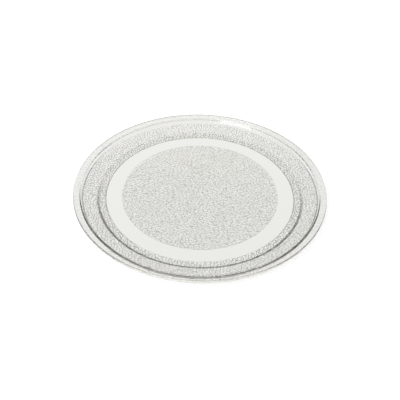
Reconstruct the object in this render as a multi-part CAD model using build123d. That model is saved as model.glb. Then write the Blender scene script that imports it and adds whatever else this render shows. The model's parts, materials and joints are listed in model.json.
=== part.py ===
"""Microwave turntable plate: one pressing of clear glass, turned about +Z.

The plate stands on a narrow foot ring. Inside the foot the underside carries a smooth roller track, and inside
the track a field that is moulded with a fine stipple. Outside the foot a shallow flange climbs to a steep step,
and the step carries a flat rim with a fire-polished, bluntly rounded edge.

Millimetres. The origin is the centre of the circle on which the foot ring stands.
"""

import os
from math import cos, radians, sin, tan

from build123d import *

# Overall sizes
PLATE_DIAMETER = 245.0
PLATE_HEIGHT = 12.0

# Base, and the foot ring that it stands on
BASE_WALL = 4.25
FOOT_WIDTH = 6.0
FOOT_DEPTH = 0.9
FOOT_INNER_DRAFT = 40.0
FOOT_OUTER_DRAFT = 55.0

# Roller track, and the stippled field inside it
TRACK_WIDTH = 13.4
TRACK_PROUD = 0.25
TRACK_EDGE_SLOPE = 9.0

# Side, from the foot's outer edge to the rim's inner edge: a shallow flange and a steep step
SIDE_WIDTH = 17.3
FLANGE_ANGLE = 11.5
FLANGE_WALL = 4.2
STEP_ANGLE = 62.0
STEP_WALL = 2.6

# Rim, and how far its round edge reaches in from the outline
RIM_WIDTH = 7.2
RIM_THICKNESS = 3.4
RIM_EDGE_REACH = 0.9

# Rounded corners, each named after the two faces that it joins
BASE_TO_FLANGE_RADIUS = 14.0
FLANGE_TO_STEP_RADIUS = 0.8
STEP_TO_RIM_RADIUS = 0.9
OUTER_STEP_TO_FLANGE_RADIUS = 1.2
FLANGE_TO_FOOT_RADIUS = 1.5
FOOT_OUTER_EDGE_RADIUS = 1.0
FOOT_INNER_EDGE_RADIUS = 0.5

# Corners that stay sharp: the one under the rim, and the edges of the track and the field
SHARP = 0

# Radii and heights that follow from the sizes above
rim_radius = PLATE_DIAMETER / 2
rim_edge_centre = rim_radius - RIM_EDGE_REACH
rim_underside = PLATE_HEIGHT - RIM_THICKNESS
foot_radius = rim_radius - RIM_WIDTH - SIDE_WIDTH
foot_inner_radius = foot_radius - FOOT_WIDTH
track_outer_radius = foot_inner_radius - FOOT_DEPTH * tan(radians(FOOT_INNER_DRAFT))
track_inner_radius = track_outer_radius - TRACK_WIDTH
field_height = FOOT_DEPTH + TRACK_PROUD
food_surface_height = field_height + BASE_WALL
field_radius = track_inner_radius - TRACK_PROUD / tan(radians(TRACK_EDGE_SLOPE))


def crossing(point_a, angle_a, point_b, angle_b):
    """The point where two lines of the section meet, each given by a point and its angle above the horizontal."""
    (radius_a, height_a), (radius_b, height_b) = point_a, point_b
    slope_a, slope_b = tan(radians(angle_a)), tan(radians(angle_b))
    radius = (height_b - height_a + slope_a * radius_a - slope_b * radius_b) / (slope_a - slope_b)
    return radius, height_a + slope_a * (radius - radius_a)


def set_out(point, angle, distance):
    """A point moved square to a line of the section, outwards and down through the wall."""
    return point[0] + distance * sin(radians(angle)), point[1] - distance * cos(radians(angle))


def plate_section():
    """The right half of the plate's section, on the XZ plane, from the axis out to the rim and back."""
    # Upper face: base, flange, step and the top of the rim
    base_edge = (foot_radius, food_surface_height)
    step_top = (rim_radius - RIM_WIDTH, PLATE_HEIGHT)
    step_bottom = crossing(base_edge, FLANGE_ANGLE, step_top, STEP_ANGLE)
    upper_face = [
        (0, food_surface_height),
        base_edge,
        step_bottom,
        step_top,
        (rim_edge_centre, PLATE_HEIGHT),
    ]
    upper_radii = [BASE_TO_FLANGE_RADIUS, FLANGE_TO_STEP_RADIUS, STEP_TO_RIM_RADIUS]

    # Under face: the rim, step and flange set out by their walls, then the foot, the track and the field
    flange_under = set_out(base_edge, FLANGE_ANGLE, FLANGE_WALL)
    step_under = set_out(step_top, STEP_ANGLE, STEP_WALL)
    rim_under = (rim_edge_centre, rim_underside)
    foot_corner = (foot_radius, 0)
    under_face = [
        rim_under,
        crossing(rim_under, 0, step_under, STEP_ANGLE),
        crossing(step_under, STEP_ANGLE, flange_under, FLANGE_ANGLE),
        crossing(flange_under, FLANGE_ANGLE, foot_corner, 90 - FOOT_OUTER_DRAFT),
        foot_corner,
        (foot_inner_radius, 0),
        (track_outer_radius, FOOT_DEPTH),
        (track_inner_radius, FOOT_DEPTH),
        (field_radius, field_height),
        (0, field_height),
    ]
    under_radii = [
        SHARP,
        OUTER_STEP_TO_FLANGE_RADIUS,
        FLANGE_TO_FOOT_RADIUS,
        FOOT_OUTER_EDGE_RADIUS,
        FOOT_INNER_EDGE_RADIUS,
        SHARP,
        SHARP,
        SHARP,
    ]

    with BuildSketch(Plane.XZ) as section:
        with BuildLine():
            FilletPolyline(upper_face, radius=upper_radii)
            EllipticalCenterArc(
                (rim_edge_centre, PLATE_HEIGHT - RIM_THICKNESS / 2),
                x_radius=RIM_EDGE_REACH,
                y_radius=RIM_THICKNESS / 2,
                start_angle=-90,
                arc_size=180,
            )
            FilletPolyline(under_face, radius=under_radii)
            Line(under_face[-1], upper_face[0])
        make_face()
    return section.sketch


turntable_plate = revolve(plate_section(), Axis.Z)
turntable_plate.label = "turntable_plate"

os.makedirs("parts", exist_ok=True)
export_step(turntable_plate, "parts/turntable_plate.step")
print("turntable_plate", round(turntable_plate.volume / 1000, 1), "cm3", turntable_plate.bounding_box().size)
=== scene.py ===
# %% [markdown]
# A microwave turntable plate is one pressing of clear glass. It is a turned shape, so its whole form is one
# section swept about the vertical axis, and its whole look is what that glass does to the light. The packed
# solid is loaded first, because every size below is taken from it or set against it.

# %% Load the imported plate
import json
from math import acos, cos, pi, radians, sin, tan

import bmesh
import bpy
from mathutils import Matrix, Vector


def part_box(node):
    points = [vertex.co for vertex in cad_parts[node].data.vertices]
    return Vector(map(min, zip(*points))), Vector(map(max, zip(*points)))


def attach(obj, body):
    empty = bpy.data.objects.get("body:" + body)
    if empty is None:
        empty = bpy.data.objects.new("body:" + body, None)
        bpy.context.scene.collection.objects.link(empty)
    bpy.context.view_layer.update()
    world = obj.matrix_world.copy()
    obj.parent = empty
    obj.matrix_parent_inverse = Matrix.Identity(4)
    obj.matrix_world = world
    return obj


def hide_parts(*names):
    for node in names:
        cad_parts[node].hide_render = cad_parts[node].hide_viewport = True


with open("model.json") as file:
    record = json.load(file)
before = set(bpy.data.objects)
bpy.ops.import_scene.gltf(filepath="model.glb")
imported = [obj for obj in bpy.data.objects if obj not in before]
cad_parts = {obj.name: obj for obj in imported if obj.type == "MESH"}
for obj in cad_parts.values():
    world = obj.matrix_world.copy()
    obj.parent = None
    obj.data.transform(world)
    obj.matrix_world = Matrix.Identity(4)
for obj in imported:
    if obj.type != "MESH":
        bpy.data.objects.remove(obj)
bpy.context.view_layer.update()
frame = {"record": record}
MM = 0.001
NODE = "turntable_plate"
low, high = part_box(NODE)
mounts = {mount["name"]: Vector(mount["pos_m"]) for mount in frame["record"]["mounts"]}
print("plate box in mm:", [round(v / MM, 2) for v in (*low, *high)])

# %% [markdown]
# The section has a flat base on a narrow foot ring. Inside the foot runs the smooth roller track, and
# inside the track lies the stippled field. Outside the foot a shallow flange climbs to a steep step that
# carries the flat rim. The heights and the middles of the ring faces come from the part's own mounts, and
# the widths are the same named sizes as in the solid. The outline could be traced as a spline, but straight
# runs with rounded corners are how a mould is cut, and they keep the dark lines of the real glass at their
# true places.

# %% Sizes of the section, in metres
rim_radius = max(high.x, -low.x)
plate_height = high.z
food_height = mounts["food_surface"].z
track_height = mounts["roller_track"].z
track_middle = mounts["roller_track"].x
foot_middle = mounts["foot_ring"].x

FOOT_WIDTH = 6.0 * MM
FOOT_OUTER_DRAFT = radians(55)
TRACK_WIDTH = 13.4 * MM
TRACK_PROUD = 0.25 * MM
TRACK_EDGE_SLOPE = radians(9)
FLANGE_ANGLE = radians(11.5)
FLANGE_WALL = 4.2 * MM
STEP_ANGLE = radians(62)
STEP_WALL = 2.6 * MM
RIM_WIDTH = 7.2 * MM
RIM_THICKNESS = 3.4 * MM
RIM_EDGE_REACH = 0.9 * MM

foot_outer = foot_middle + FOOT_WIDTH / 2
foot_inner = foot_middle - FOOT_WIDTH / 2
track_outer = track_middle + TRACK_WIDTH / 2
track_inner = track_middle - TRACK_WIDTH / 2
field_height = track_height + TRACK_PROUD
field_radius = track_inner - TRACK_PROUD / tan(TRACK_EDGE_SLOPE)
print("foot from", round(foot_inner / MM, 2), "to", round(foot_outer / MM, 2), "mm")
print("field to", round(field_radius / MM, 2), "mm")


# %% Where two runs of the section meet
def crossing(point_a, angle_a, point_b, angle_b):
    """The corner where two straight runs meet, each given by a point and its slope angle."""
    slope_a, slope_b = tan(angle_a), tan(angle_b)
    radius = (point_b[0] * slope_b - point_a[0] * slope_a + point_a[1] - point_b[1]) / (slope_b - slope_a)
    return radius, point_a[1] + slope_a * (radius - point_a[0])


def set_out(point, angle, wall):
    """A point of the upper face carried square through the wall to the under face."""
    return point[0] + wall * sin(angle), point[1] - wall * cos(angle)


base_edge = (foot_outer, food_height)
step_top = (rim_radius - RIM_WIDTH, plate_height)
step_bottom = crossing(base_edge, FLANGE_ANGLE, step_top, STEP_ANGLE)
rim_under = (rim_radius, plate_height - RIM_THICKNESS)
step_under = set_out(step_top, STEP_ANGLE, STEP_WALL)
flange_under = set_out(base_edge, FLANGE_ANGLE, FLANGE_WALL)
foot_corner = (foot_outer, 0)
print("step from", [round(v / MM, 2) for v in step_bottom], "to", [round(v / MM, 2) for v in step_top], "mm")

# %% [markdown]
# Each corner below has its place, its rounding, and how deep the stipple is on the run that leads up to it:
# 0 is fire-polished, 1 is the field's stipple, and the foot ring is stippled deeper still. Round a corner
# the stipple fades from one run's depth to the next. It is a second value of the outline, so that one list
# holds both the form and the finish, and the node tree can read it as an attribute. Smooth shading carries
# the slopes of a stippled face over to a polished one, so a narrow guard ring on the track and a narrow
# margin of the field stop it there. The rim's edge is half an ellipse, because a pressed edge that is
# softened by a flame rounds off less than a full half circle.

# %% The corners of the section, from the flat top out over the rim and back underneath
POLISHED, FAINT, LIGHT, STIPPLED, DEEP = 0.0, 0.15, 0.3, 1.0, 2.0
SHARP = 0
BASE_TO_FLANGE_RADIUS = 14 * MM
FLANGE_TO_STEP_RADIUS = 0.8 * MM
STEP_TO_RIM_RADIUS = 0.9 * MM
UNDER_RIM_RADIUS = 0.5 * MM
OUTER_STEP_TO_FLANGE_RADIUS = 1.2 * MM
FLANGE_TO_FOOT_RADIUS = 1.5 * MM
FOOT_OUTER_EDGE_RADIUS = 1.0 * MM
FOOT_INNER_EDGE_RADIUS = 0.5 * MM
TRACK_OUTER_EDGE_RADIUS = 0.3 * MM
TRACK_INNER_EDGE_RADIUS = 0.2 * MM
TOP_INSET = 8 * MM
TRACK_GUARD = 0.8 * MM
FIELD_MARGIN = 0.6 * MM
EDGE_STEPS = 12

outer_heel = crossing(step_under, STEP_ANGLE, flange_under, FLANGE_ANGLE)
foot_root = crossing(flange_under, FLANGE_ANGLE, foot_corner, pi / 2 - FOOT_OUTER_DRAFT)
rim_edge = []
for k in range(EDGE_STEPS + 1):
    turn = pi * k / EDGE_STEPS
    radius = rim_radius - RIM_EDGE_REACH * (1 - sin(turn))
    height = plate_height - RIM_THICKNESS / 2 * (1 - cos(turn))
    rim_edge.append(((radius, height), SHARP, POLISHED))
corners = [
    ((foot_outer - TOP_INSET, food_height), SHARP, POLISHED),
    (base_edge, BASE_TO_FLANGE_RADIUS, POLISHED),
    (step_bottom, FLANGE_TO_STEP_RADIUS, POLISHED),
    (step_top, STEP_TO_RIM_RADIUS, POLISHED),
    *rim_edge,
    (crossing(rim_under, 0, step_under, STEP_ANGLE), UNDER_RIM_RADIUS, LIGHT),
    (outer_heel, OUTER_STEP_TO_FLANGE_RADIUS, FAINT),
    (foot_root, FLANGE_TO_FOOT_RADIUS, STIPPLED),
    (foot_corner, FOOT_OUTER_EDGE_RADIUS, DEEP),
    ((foot_inner, 0), FOOT_INNER_EDGE_RADIUS, DEEP),
    ((track_outer, track_height), TRACK_OUTER_EDGE_RADIUS, DEEP),
    ((track_outer - TRACK_GUARD, track_height), SHARP, POLISHED),
    ((track_inner, track_height), TRACK_INNER_EDGE_RADIUS, POLISHED),
    ((field_radius, field_height), SHARP, POLISHED),
    ((field_radius - FIELD_MARGIN, field_height), SHARP, POLISHED),
]
print("corners:", len(corners))

# %% Round the corners and divide the stippled runs
RING_SPACING = 0.78 * MM
ARC_STEP = radians(17)
FINE_ARC_STEP = radians(26)
FINE_CORNER = 0.6 * MM


def corner_arc(before, corner, after, radius):
    """Points on the arc that rounds one corner, from run to run."""
    to_before = (Vector(before) - Vector(corner)).normalized()
    to_after = (Vector(after) - Vector(corner)).normalized()
    between = acos(max(-1, min(1, to_before.dot(to_after))))
    middle = Vector(corner) + (to_before + to_after).normalized() * radius / sin(between / 2)
    turn = pi - between
    start = Vector(corner) + to_before * radius / tan(between / 2) - middle
    side = 1 if to_before.cross(to_after) < 0 else -1
    steps = max(1, round(turn / (FINE_ARC_STEP if radius < FINE_CORNER else ARC_STEP)))
    return [middle + Matrix.Rotation(side * turn * k / steps, 2) @ start for k in range(steps + 1)]


def section_points(corner_list):
    """The outline as (radius, height, stipple), with arcs at the corners and short steps in the stipple."""
    outline = []
    for index, (place, rounding, stipple) in enumerate(corner_list):
        arc = [Vector(place)]
        if rounding > SHARP:
            arc = corner_arc(corner_list[index - 1][0], place, corner_list[index + 1][0], rounding)
        if stipple > POLISHED:
            last = Vector(outline[-1][:2])
            steps = max(1, round((arc[0] - last).length / RING_SPACING))
            for k in range(1, steps):
                outline.append((*last.lerp(arc[0], k / steps), stipple))
        after = corner_list[index + 1][2] if index + 1 < len(corner_list) else STIPPLED
        for k, point in enumerate(arc):
            fade = k / (len(arc) - 1) if len(arc) > 1 else 1
            outline.append((*point, stipple + (after - stipple) * fade))
    return outline


outline = section_points(corners)
print("section points:", len(outline))

# %% [markdown]
# The outline becomes a chain of vertices in the XZ plane, with the stipple stored as a point attribute. It
# is the input of the node tree that turns it. A spin in mesh code would do for the rings, but at the axis
# it leaves needle-shaped faces that can't carry a relief, so the tree closes the middle with its own disc.

# %% The section as a chain of vertices
section_mesh = bpy.data.meshes.new("plate_section")
section_mesh.from_pydata(
    [(radius, 0, height) for radius, height, _ in outline],
    [(k, k + 1) for k in range(len(outline) - 1)],
    [],
)
section_mesh.attributes.new("stipple", "FLOAT", "POINT").data.foreach_set("value", [p[2] for p in outline])
section = bpy.data.objects.new("plate_section", section_mesh)
bpy.context.scene.collection.objects.link(section)
print("chain:", len(section_mesh.vertices), "vertices,", len(section_mesh.edges), "edges")

# %% [markdown]
# The glass, the floor, the room and the tree that turns the section are all built from nodes. To add one
# node and wire it by hand takes several lines, so three short helpers do it: one for any node, one for
# arithmetic, and one for a number that runs smoothly from one value to another.


# %% Helpers that add one node and wire its inputs in order
def add(tree, kind, *values, **settings):
    """Adds a node. Settings go on it, values on its visible inputs: a socket is linked, None is skipped."""
    node = tree.nodes.new(kind)
    for name, value in settings.items():
        setattr(node, name, value)
    sockets = [socket for socket in node.inputs if socket.enabled]
    for socket, value in zip(sockets, values):
        if isinstance(value, bpy.types.NodeSocket):
            tree.links.new(value, socket)
        elif value is not None:
            socket.default_value = value
    return node


def compute(tree, operation, *values):
    """The result of one arithmetic operation on numbers or sockets."""
    return add(tree, "ShaderNodeMath", *values, operation=operation).outputs[0]


def ramp(tree, value, start, end, at_start, at_end, kind="SMOOTHSTEP"):
    """A number that goes from at_start to at_end while the value goes from start to end."""
    return add(
        tree, "ShaderNodeMapRange", value, start, end, at_start, at_end, interpolation_type=kind
    ).outputs["Result"]


# %% [markdown]
# The stipple is a skin of small irregular pebbles with narrow valleys between them. A cell texture that
# measures the distance to the nearest cell edge gives exactly that: flat crowns and steep valleys. Noise
# would give soft hills, and glass with soft hills only wobbles the view and never shows grain. The same
# pattern is used twice, once in the glass for its fine valleys and once in the node tree for the relief, so
# it is built by one function. The field's pebbles are finer than those outside the track, and they are
# drawn out along one direction, like the grain of leather.

# %% The pebble pattern
PEBBLE_SEED = (0.37, 0.12, 0.05)
FIELD_PITCH = 1.6 * MM
FIELD_DRAW = 2.4
SIDE_PITCH = 2.6 * MM


def by_face(tree, place, in_field, outside):
    """One value inside the roller track and another outside it."""
    apart = add(tree, "ShaderNodeVectorMath", place, operation="LENGTH").outputs["Value"]
    return ramp(tree, apart, track_inner, track_outer, in_field, outside, "LINEAR")


def pebble_edges(tree, place, seed, field_density, side_density):
    """How far each point is from the nearest valley, as a share of a pebble."""
    drawn = add(tree, "ShaderNodeCombineXYZ", by_face(tree, place, 1 / FIELD_DRAW, 1), 1, 1).outputs[0]
    laid = add(tree, "ShaderNodeVectorMath", place, drawn, seed, operation="MULTIPLY_ADD")
    density = by_face(tree, place, field_density, side_density)
    cells = add(tree, "ShaderNodeTexVoronoi", laid.outputs[0], density, feature="DISTANCE_TO_EDGE")
    return cells.outputs["Distance"]


print("pebbles:", round(FIELD_PITCH / MM, 2), "mm in the field,", round(SIDE_PITCH / MM, 2), "mm outside it")

# %% [markdown]
# The glass. Clear pressed glass has an index of about 1.52 and a weak grey-green tint that only shows
# through its thickness, so the tint is absorption in the volume and the surface itself stays colourless. A
# flat tint on the surface would look like plastic film. Fire polishing leaves a long, faint waviness, so
# roughness and a weak bump follow a slow noise. The mould leaves the pebbles, and their valleys are a
# second bump that the stipple attribute turns on and off.

# %% Glass material
FIELD_VALLEY = 0.061
SIDE_VALLEY = 0.1
VALLEY_DEPTH = 0.2 * MM
RIPPLES_PER_METRE = 45
RIPPLE_OCTAVES = 1
RIPPLE_STRENGTH = 0.25
RIPPLE_DEPTH = 0.05 * MM
WAVY_ROUGHNESS = 0.03
GLASS_INDEX = 1.52
TINT = (0.54, 0.52, 0.24, 1)
TINT_DENSITY = 24


def bump(tree, height, strength, depth):
    """A node that shades the surface as if it rose by the depth where the height is 1."""
    node = tree.nodes.new("ShaderNodeBump")
    node.inputs["Strength"].default_value = strength
    node.inputs["Distance"].default_value = depth
    tree.links.new(height, node.inputs["Height"])
    return node


def pressed_glass():
    """Clear glass with a volume tint, a faint polish ripple, and pebbles on the moulded faces."""
    material = bpy.data.materials.new("clear_pressed_glass")
    material.use_nodes = True
    tree = material.node_tree
    tree.nodes.clear()
    place = add(tree, "ShaderNodeTexCoord").outputs["Object"]
    stipple = add(tree, "ShaderNodeAttribute", attribute_name="stipple").outputs["Fac"]

    ripple = add(tree, "ShaderNodeTexNoise", place, RIPPLES_PER_METRE, RIPPLE_OCTAVES).outputs["Fac"]
    polish = bump(tree, ripple, RIPPLE_STRENGTH, RIPPLE_DEPTH)
    edges = pebble_edges(tree, place, PEBBLE_SEED, 1 / FIELD_PITCH, 1 / SIDE_PITCH)
    crown = ramp(tree, edges, 0, by_face(tree, place, FIELD_VALLEY, SIDE_VALLEY), 0, 1)
    pebbles = bump(tree, compute(tree, "MULTIPLY", crown, stipple), 1, VALLEY_DEPTH)
    tree.links.new(polish.outputs["Normal"], pebbles.inputs["Normal"])

    glass = tree.nodes.new("ShaderNodeBsdfPrincipled")
    glass.inputs["Base Color"].default_value = (1, 1, 1, 1)
    glass.inputs["Transmission Weight"].default_value = 1
    glass.inputs["IOR"].default_value = GLASS_INDEX
    tree.links.new(ramp(tree, ripple, 0, 1, 0, WAVY_ROUGHNESS, "LINEAR"), glass.inputs["Roughness"])
    tree.links.new(pebbles.outputs["Normal"], glass.inputs["Normal"])
    tint = add(tree, "ShaderNodeVolumeAbsorption", TINT, TINT_DENSITY)
    add(tree, "ShaderNodeOutputMaterial", glass.outputs["BSDF"], tint.outputs["Volume"])
    return material


glass_material = pressed_glass()
print("material:", glass_material.name, len(glass_material.node_tree.nodes), "nodes")

# %% [markdown]
# The node tree turns the section. A grid supplies one column of vertices for each step of the turn, and
# each vertex takes its radius, height and stipple from the point of the section with its row number. A
# second grid, bent from a square to a disc, fills the middle of the underside, because its faces stay even
# all the way to the axis. A plain circle closes the polished top. Merging the three leaves one closed skin.


# %% The turned skin: rings from the section
def turned_rings(tree, section_socket, segments):
    """A grid of segments by section points, wrapped round the axis, with the section's stipple on it."""
    sizes = add(tree, "GeometryNodeAttributeDomainSize", section_socket, component="MESH")
    count = sizes.outputs["Point Count"]
    columns = compute(tree, "ADD", segments, 1)
    grid = add(tree, "GeometryNodeMeshGrid", 1, 1, columns, count).outputs["Mesh"]
    index = add(tree, "GeometryNodeInputIndex").outputs[0]
    column = add(tree, "FunctionNodeIntegerMath", index, count, operation="DIVIDE_FLOOR").outputs[0]
    row = add(tree, "FunctionNodeIntegerMath", index, count, operation="MODULO").outputs[0]

    own_place = add(tree, "GeometryNodeInputPosition").outputs[0]
    own_stipple = add(tree, "GeometryNodeInputNamedAttribute", "stipple", data_type="FLOAT").outputs[0]
    place = add(tree, "GeometryNodeSampleIndex", section_socket, own_place, row, data_type="FLOAT_VECTOR")
    stipple = add(tree, "GeometryNodeSampleIndex", section_socket, own_stipple, row, data_type="FLOAT")

    angle = compute(tree, "DIVIDE", compute(tree, "MULTIPLY", column, 2 * pi), segments)
    turned = add(
        tree, "ShaderNodeVectorRotate", place.outputs[0], None, (0, 0, 1), angle, rotation_type="AXIS_ANGLE"
    ).outputs[0]
    rings = add(tree, "GeometryNodeSetPosition", grid, None, turned).outputs[0]
    rings = add(
        tree, "GeometryNodeStoreNamedAttribute", rings, None, "stipple", stipple.outputs[0],
        data_type="FLOAT", domain="POINT",
    ).outputs[0]
    return add(tree, "GeometryNodeFlipFaces", rings).outputs[0], count


# %% The middle of the underside: a square grid bent to a disc
def field_disc(tree, section_socket, segments, count):
    """A square grid whose square rings become circles, on the section's last point."""
    # A square from -1 to 1, with a quarter of the turn's segments along each of its four sides
    side = compute(tree, "ADD", compute(tree, "DIVIDE", segments, 4), 1)
    grid = add(tree, "GeometryNodeMeshGrid", 2, 2, side, side).outputs["Mesh"]
    own_place = add(tree, "GeometryNodeInputPosition").outputs[0]
    last = add(tree, "FunctionNodeIntegerMath", count, 1, operation="SUBTRACT").outputs[0]
    edge = add(tree, "GeometryNodeSampleIndex", section_socket, own_place, last, data_type="FLOAT_VECTOR")
    edge_parts = add(tree, "ShaderNodeSeparateXYZ", edge.outputs[0])

    square = add(tree, "ShaderNodeSeparateXYZ", own_place)
    x, y = square.outputs[0], square.outputs[1]
    x_leads = compute(tree, "GREATER_THAN", compute(tree, "ABSOLUTE", x), compute(tree, "ABSOLUTE", y))
    # In the two side wedges the angle follows y over x, in the other two it follows x over y
    side_angle = compute(tree, "MULTIPLY", compute(tree, "DIVIDE", y, x), pi / 4)
    off_axis = compute(tree, "MULTIPLY", compute(tree, "DIVIDE", x, y), pi / 4)
    front_angle = compute(tree, "SUBTRACT", pi / 2, off_axis)
    lead = add(tree, "ShaderNodeMix", x_leads, y, x).outputs[0]
    angle = add(tree, "ShaderNodeMix", x_leads, front_angle, side_angle).outputs[0]
    reach = compute(tree, "MULTIPLY", lead, edge_parts.outputs[0])
    bent = add(
        tree, "ShaderNodeCombineXYZ",
        compute(tree, "MULTIPLY", reach, compute(tree, "COSINE", angle)),
        compute(tree, "MULTIPLY", reach, compute(tree, "SINE", angle)),
        edge_parts.outputs[2],
    ).outputs[0]
    disc = add(tree, "GeometryNodeSetPosition", grid, None, bent).outputs[0]
    disc = add(
        tree, "GeometryNodeStoreNamedAttribute", disc, None, "stipple", STIPPLED,
        data_type="FLOAT", domain="POINT",
    ).outputs[0]
    return add(tree, "GeometryNodeFlipFaces", disc).outputs[0]


# %% The polished middle of the top
def top_disc(tree, section_socket, segments):
    """One flat face on the section's first point."""
    own_place = add(tree, "GeometryNodeInputPosition").outputs[0]
    edge = add(tree, "GeometryNodeSampleIndex", section_socket, own_place, 0, data_type="FLOAT_VECTOR")
    parts = add(tree, "ShaderNodeSeparateXYZ", edge.outputs[0])
    circle = add(tree, "GeometryNodeMeshCircle", segments, parts.outputs[0], fill_type="NGON").outputs[0]
    lift = add(tree, "ShaderNodeCombineXYZ", 0, 0, parts.outputs[2]).outputs[0]
    return add(tree, "GeometryNodeSetPosition", circle, None, None, lift).outputs[0]


# %% [markdown]
# The stipple is then pressed in. The valleys between the pebbles sink into the glass by a fraction of a
# millimetre, and they are wider here than in the material, because the mesh is too coarse for their steep
# sides. The crowns stay on the solid's own face, so the plate never grows.

# %% The pebbles as a relief
VALLEY_SPREAD = 0.4


def pressed_in(tree, skin, seed, field_density, side_density, depth):
    """The skin with the valleys between the pebbles sunk into it, as deep as its stipple says."""
    own_place = add(tree, "GeometryNodeInputPosition").outputs[0]
    normal = add(tree, "GeometryNodeInputNormal").outputs[0]
    stipple = add(tree, "GeometryNodeInputNamedAttribute", "stipple", data_type="FLOAT").outputs[0]
    edges = pebble_edges(tree, own_place, seed, field_density, side_density)
    valley = ramp(tree, edges, 0, VALLEY_SPREAD, -1, 0)
    sink = compute(tree, "MULTIPLY", compute(tree, "MULTIPLY", valley, stipple), depth)
    inward = add(tree, "ShaderNodeVectorMath", normal, sink, operation="SCALE").outputs[0]
    return add(tree, "GeometryNodeSetPosition", skin, None, None, inward).outputs[0]


# %% Put the tree together
WELD = 0.002 * MM


def turning_tree():
    """The tree that turns the section, closes it, presses the stipple in and makes it glass."""
    tree = bpy.data.node_groups.new("turn_and_stipple", "GeometryNodeTree")
    for name, kind in (
        ("Section", "NodeSocketGeometry"),
        ("Segments", "NodeSocketInt"),
        ("Field Density", "NodeSocketFloat"),
        ("Side Density", "NodeSocketFloat"),
        ("Relief Depth", "NodeSocketFloat"),
        ("Seed", "NodeSocketVector"),
        ("Glass", "NodeSocketMaterial"),
    ):
        tree.interface.new_socket(name, in_out="INPUT", socket_type=kind)
    tree.interface.new_socket("Plate", in_out="OUTPUT", socket_type="NodeSocketGeometry")
    given = tree.nodes.new("NodeGroupInput").outputs

    rings, count = turned_rings(tree, given["Section"], given["Segments"])
    disc = field_disc(tree, given["Section"], given["Segments"], count)
    top = top_disc(tree, given["Section"], given["Segments"])
    join = tree.nodes.new("GeometryNodeJoinGeometry")
    for skin in (rings, disc, top):
        tree.links.new(skin, join.inputs[0])
    closed = add(tree, "GeometryNodeMergeByDistance", join.outputs[0])
    closed.inputs["Distance"].default_value = WELD
    densities = given["Field Density"], given["Side Density"]
    pressed = pressed_in(tree, closed.outputs[0], given["Seed"], *densities, given["Relief Depth"])
    smooth = add(tree, "GeometryNodeSetShadeSmooth", pressed).outputs[0]
    real = add(tree, "GeometryNodeRealizeInstances", smooth).outputs[0]
    glazed = add(tree, "GeometryNodeSetMaterial", real, None, given["Glass"]).outputs[0]
    tree.links.new(glazed, tree.nodes.new("NodeGroupOutput").inputs[0])
    return tree


plate_tree = turning_tree()
print("tree:", plate_tree.name, len(plate_tree.nodes), "nodes")

# %% Turn the section into the plate
SEGMENTS = 728
RELIEF_DEPTH = 0.15 * MM
CUBIC_CM = (10 * MM) ** 3

turning = section.modifiers.new("turn_and_stipple", "NODES")
turning.node_group = plate_tree
sockets = plate_tree.interface.items_tree
inputs = {socket.name: socket.identifier for socket in sockets if socket.in_out == "INPUT"}
turning[inputs["Segments"]] = SEGMENTS
turning[inputs["Field Density"]] = 1 / FIELD_PITCH
turning[inputs["Side Density"]] = 1 / SIDE_PITCH
turning[inputs["Relief Depth"]] = RELIEF_DEPTH
turning[inputs["Seed"]] = PEBBLE_SEED
turning[inputs["Glass"]] = glass_material

evaluated = section.evaluated_get(bpy.context.evaluated_depsgraph_get())
plate = bpy.data.objects.new("pressed_glass_plate", bpy.data.meshes.new_from_object(evaluated))
bpy.context.scene.collection.objects.link(plate)
section.modifiers.remove(turning)
bpy.data.objects.remove(section)

check = bmesh.new()
check.from_mesh(plate.data)
open_edges = sum(1 for edge in check.edges if not edge.is_manifold)
print("plate:", len(plate.data.vertices), "vertices,", len(check.calc_loop_triangles()), "triangles,",
      "volume", round(check.calc_volume(signed=True) / CUBIC_CM, 1), "cm3,", open_edges, "open edges")
check.free()

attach(plate, "root")
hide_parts(NODE)

# %% [markdown]
# The floor is a plain white sheet. It is white to the eye and still takes the plate's soft shadow. Glass is
# seen by what is behind it, so rays that pass through or glance off the plate meet a sheet with a glow of
# its own, as on a light table. Shade is painted into that glow. It is weaker under the plate than beside it,
# which is a painted shadow of the plate. Under the plate it grows a little towards the back, which is
# painted light from the back. Beside the plate it fades to the right, which is a painted shadow where the
# plate's shadow falls. A little way out it dies down, and that draws the thin dark line round the rim,
# because the rounded edge looks far out over the floor. Lit paper alone would do, but the little light that
# finds its way through stippled glass is too uneven to show the stipple cleanly.

# %% Floor
FLOOR_SIZE = 12.0
FLOOR_GAP = 0.1 * MM
OPEN_TONE, OPEN_GLOW = 0.35, 0.75
SHADE_TONE = 0.8
# Painted shadow in the glow the glass sees: dimmer under the plate, and lighter towards the back
PAINTED_SHADOW_FRONT, PAINTED_SHADOW_BACK = 0.86, 0.915
# Painted shadow beside the plate: the glow is darker to the right, where the plate's shadow falls
PAINTED_SIDE_SHADE_LEFT, PAINTED_SIDE_SHADE_RIGHT = 0.945, 0.87
# The direction the painted light comes from, which is the back and a little to the left
TOWARDS_PAINTED_LIGHT = (-0.4, 0.9, 0)
PAINTED_SHADOW_TO, OPEN_FROM = rim_radius - 4 * MM, rim_radius + 6 * MM
FAR_GLOW = 0.1
LIT_TO, FAR_FROM = 150 * MM, 240 * MM


def paper(tree, tone):
    """Matt paper of one grey tone."""
    return add(tree, "ShaderNodeBsdfDiffuse", (tone, tone, tone, 1)).outputs[0]


def glow(tree, strength):
    """A white glow that is full white at a strength of 1."""
    return add(tree, "ShaderNodeEmission", (1, 1, 1, 1), strength).outputs[0]


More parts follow.
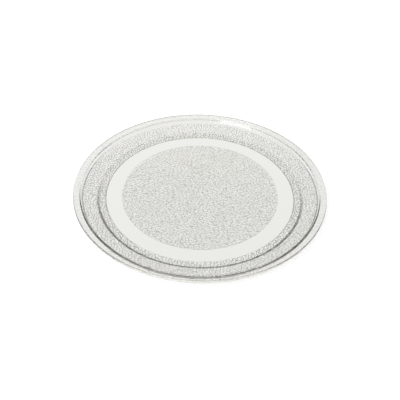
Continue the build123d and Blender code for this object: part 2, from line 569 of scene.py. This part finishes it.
def white_sheet():
    """White paper to the camera, a glowing sheet with painted shade through the glass, and shaded paper to
    other rays.
    """
    material = bpy.data.materials.new("white_sheet")
    material.use_nodes = True
    tree = material.node_tree
    tree.nodes.clear()
    rays = add(tree, "ShaderNodeLightPath").outputs
    through = compute(tree, "MAXIMUM", rays["Is Transmission Ray"], rays["Is Glossy Ray"])
    place = add(tree, "ShaderNodeTexCoord").outputs["Object"]
    apart = add(tree, "ShaderNodeVectorMath", place, operation="LENGTH").outputs["Value"]
    # Painted shade in the glow: the plate's shadow under it, light from the back, and shadow to the right
    along_painted_light = add(tree, "ShaderNodeVectorMath", place, TOWARDS_PAINTED_LIGHT, operation="DOT_PRODUCT").outputs["Value"]
    painted_shadow_glow = ramp(tree, along_painted_light, -rim_radius, rim_radius, PAINTED_SHADOW_FRONT, PAINTED_SHADOW_BACK, "LINEAR")
    across = add(tree, "ShaderNodeSeparateXYZ", place).outputs["X"]
    painted_side_shade_glow = ramp(tree, across, -rim_radius, rim_radius, PAINTED_SIDE_SHADE_LEFT, PAINTED_SIDE_SHADE_RIGHT, "LINEAR")
    painted_shade_near = ramp(tree, apart, PAINTED_SHADOW_TO, OPEN_FROM, painted_shadow_glow, painted_side_shade_glow)
    glow_with_painted_shade = glow(tree, ramp(tree, apart, LIT_TO, FAR_FROM, painted_shade_near, FAR_GLOW))
    open_floor = add(tree, "ShaderNodeAddShader", paper(tree, OPEN_TONE), glow(tree, OPEN_GLOW)).outputs[0]
    unseen = add(tree, "ShaderNodeMixShader", through, paper(tree, SHADE_TONE), glow_with_painted_shade).outputs[0]
    sheet = add(tree, "ShaderNodeMixShader", rays["Is Camera Ray"], unseen, open_floor).outputs[0]
    add(tree, "ShaderNodeOutputMaterial", sheet)
    return material


half = FLOOR_SIZE / 2
floor_mesh = bpy.data.meshes.new("floor")
floor_corners = [(x, y, -FLOOR_GAP) for x, y in ((-half, -half), (half, -half), (half, half), (-half, half))]
floor_mesh.from_pydata(floor_corners, [], [(0, 1, 2, 3)])
floor_mesh.materials.append(white_sheet())
floor = bpy.data.objects.new("floor", floor_mesh)
bpy.context.scene.collection.objects.link(floor)
print("floor:", FLOOR_SIZE, "m square")

# %% [markdown]
# Glass needs darker surroundings to be drawn at all: in an even white room its edges vanish. The room is
# therefore a mid grey that brightens smoothly towards the wall behind the plate. The steep walls of the
# plate pick up the grey and draw the dark rings, and the bright wall lights the far rim. A lamp with sharp
# edges behind the plate would do the same, but its outline would show as a line in the polished top. The
# camera itself sees the room as plain white, so a low view has a white backdrop above the floor.

# %% Room
ROOM_GREY = 0.34
BACK_GLOW = 0.95
BRIGHT_FROM = 0.45


def grey_room():
    """Grey in front and bright behind to the plate, and plain white to the camera."""
    world = bpy.data.worlds.new("room")
    world.use_nodes = True
    tree = world.node_tree
    look = add(tree, "ShaderNodeTexCoord").outputs["Generated"]
    behind = add(tree, "ShaderNodeSeparateXYZ", look).outputs["Y"]
    walls = ramp(tree, behind, 0, BRIGHT_FROM, ROOM_GREY, BACK_GLOW)
    seen = add(tree, "ShaderNodeLightPath").outputs["Is Camera Ray"]
    backdrop = tree.nodes["Background"]
    backdrop.inputs["Color"].default_value = (1, 1, 1, 1)
    tree.links.new(compute(tree, "MAXIMUM", seen, walls), backdrop.inputs["Strength"])
    return world


bpy.context.scene.world = grey_room()
print("room from", ROOM_GREY, "in front to", BACK_GLOW, "behind")

# %% [markdown]
# One large soft panel, high on the left in front, is the key light. It brings the floor up to white, throws
# the plate's soft shadow to the right, and leaves a small bright mark on the far step. Its power follows
# from its size and from how bright its face looks, so it can be made larger or smaller without changing how
# bright its reflection is.

# %% Key light
KEY_PLACE = Vector((-1.0, -1.2, 1.6))
KEY_SIZE = 1.6
KEY_GLOW = 4.5


def soft_panel(name, place, size, face_glow):
    """A square panel that faces the plate."""
    lamp = bpy.data.lights.new(name, "AREA")
    lamp.shape = "SQUARE"
    lamp.size = size
    lamp.energy = face_glow * pi * size**2
    panel = bpy.data.objects.new(name, lamp)
    panel.location = place
    panel.rotation_euler = (-place).to_track_quat("-Z", "Y").to_euler()
    bpy.context.scene.collection.objects.link(panel)
    return panel


key_panel = soft_panel("key_panel", KEY_PLACE, KEY_SIZE, KEY_GLOW)
print("key light:", round(key_panel.data.energy, 1), "W")

# %% [markdown]
# The camera looks down at the plate at the photograph's angle. Its lens and distance reproduce how much
# smaller the far rim is than the near one, and it is rolled a little, as the outline in the photograph is.

# %% Camera
FRAME_PIXELS = 400
FOCAL_PIXELS = 764.4
# Blender counts the sensor and the lens in millimetres
SENSOR = 36.0
CAMERA_DISTANCE = 0.75
CAMERA_ELEVATION = radians(41.3)
CAMERA_ROLL = radians(1.59)
AIM = Vector((0.1 * MM, -4.8 * MM, 0))

camera_data = bpy.data.cameras.new("camera")
camera_data.sensor_width = SENSOR
camera_data.lens = FOCAL_PIXELS / FRAME_PIXELS * SENSOR
camera = bpy.data.objects.new("camera", camera_data)
camera.location = Vector((0, -cos(CAMERA_ELEVATION), sin(CAMERA_ELEVATION))) * CAMERA_DISTANCE
sight = (AIM - camera.location).to_track_quat("-Z", "Y").to_matrix().to_4x4()
camera.matrix_world = Matrix.Translation(camera.location) @ sight @ Matrix.Rotation(CAMERA_ROLL, 4, "Z")
bpy.context.scene.collection.objects.link(camera)
bpy.context.scene.camera = camera
bpy.context.scene.view_settings.view_transform = "Standard"
print("lens:", round(camera_data.lens, 1), "mm")
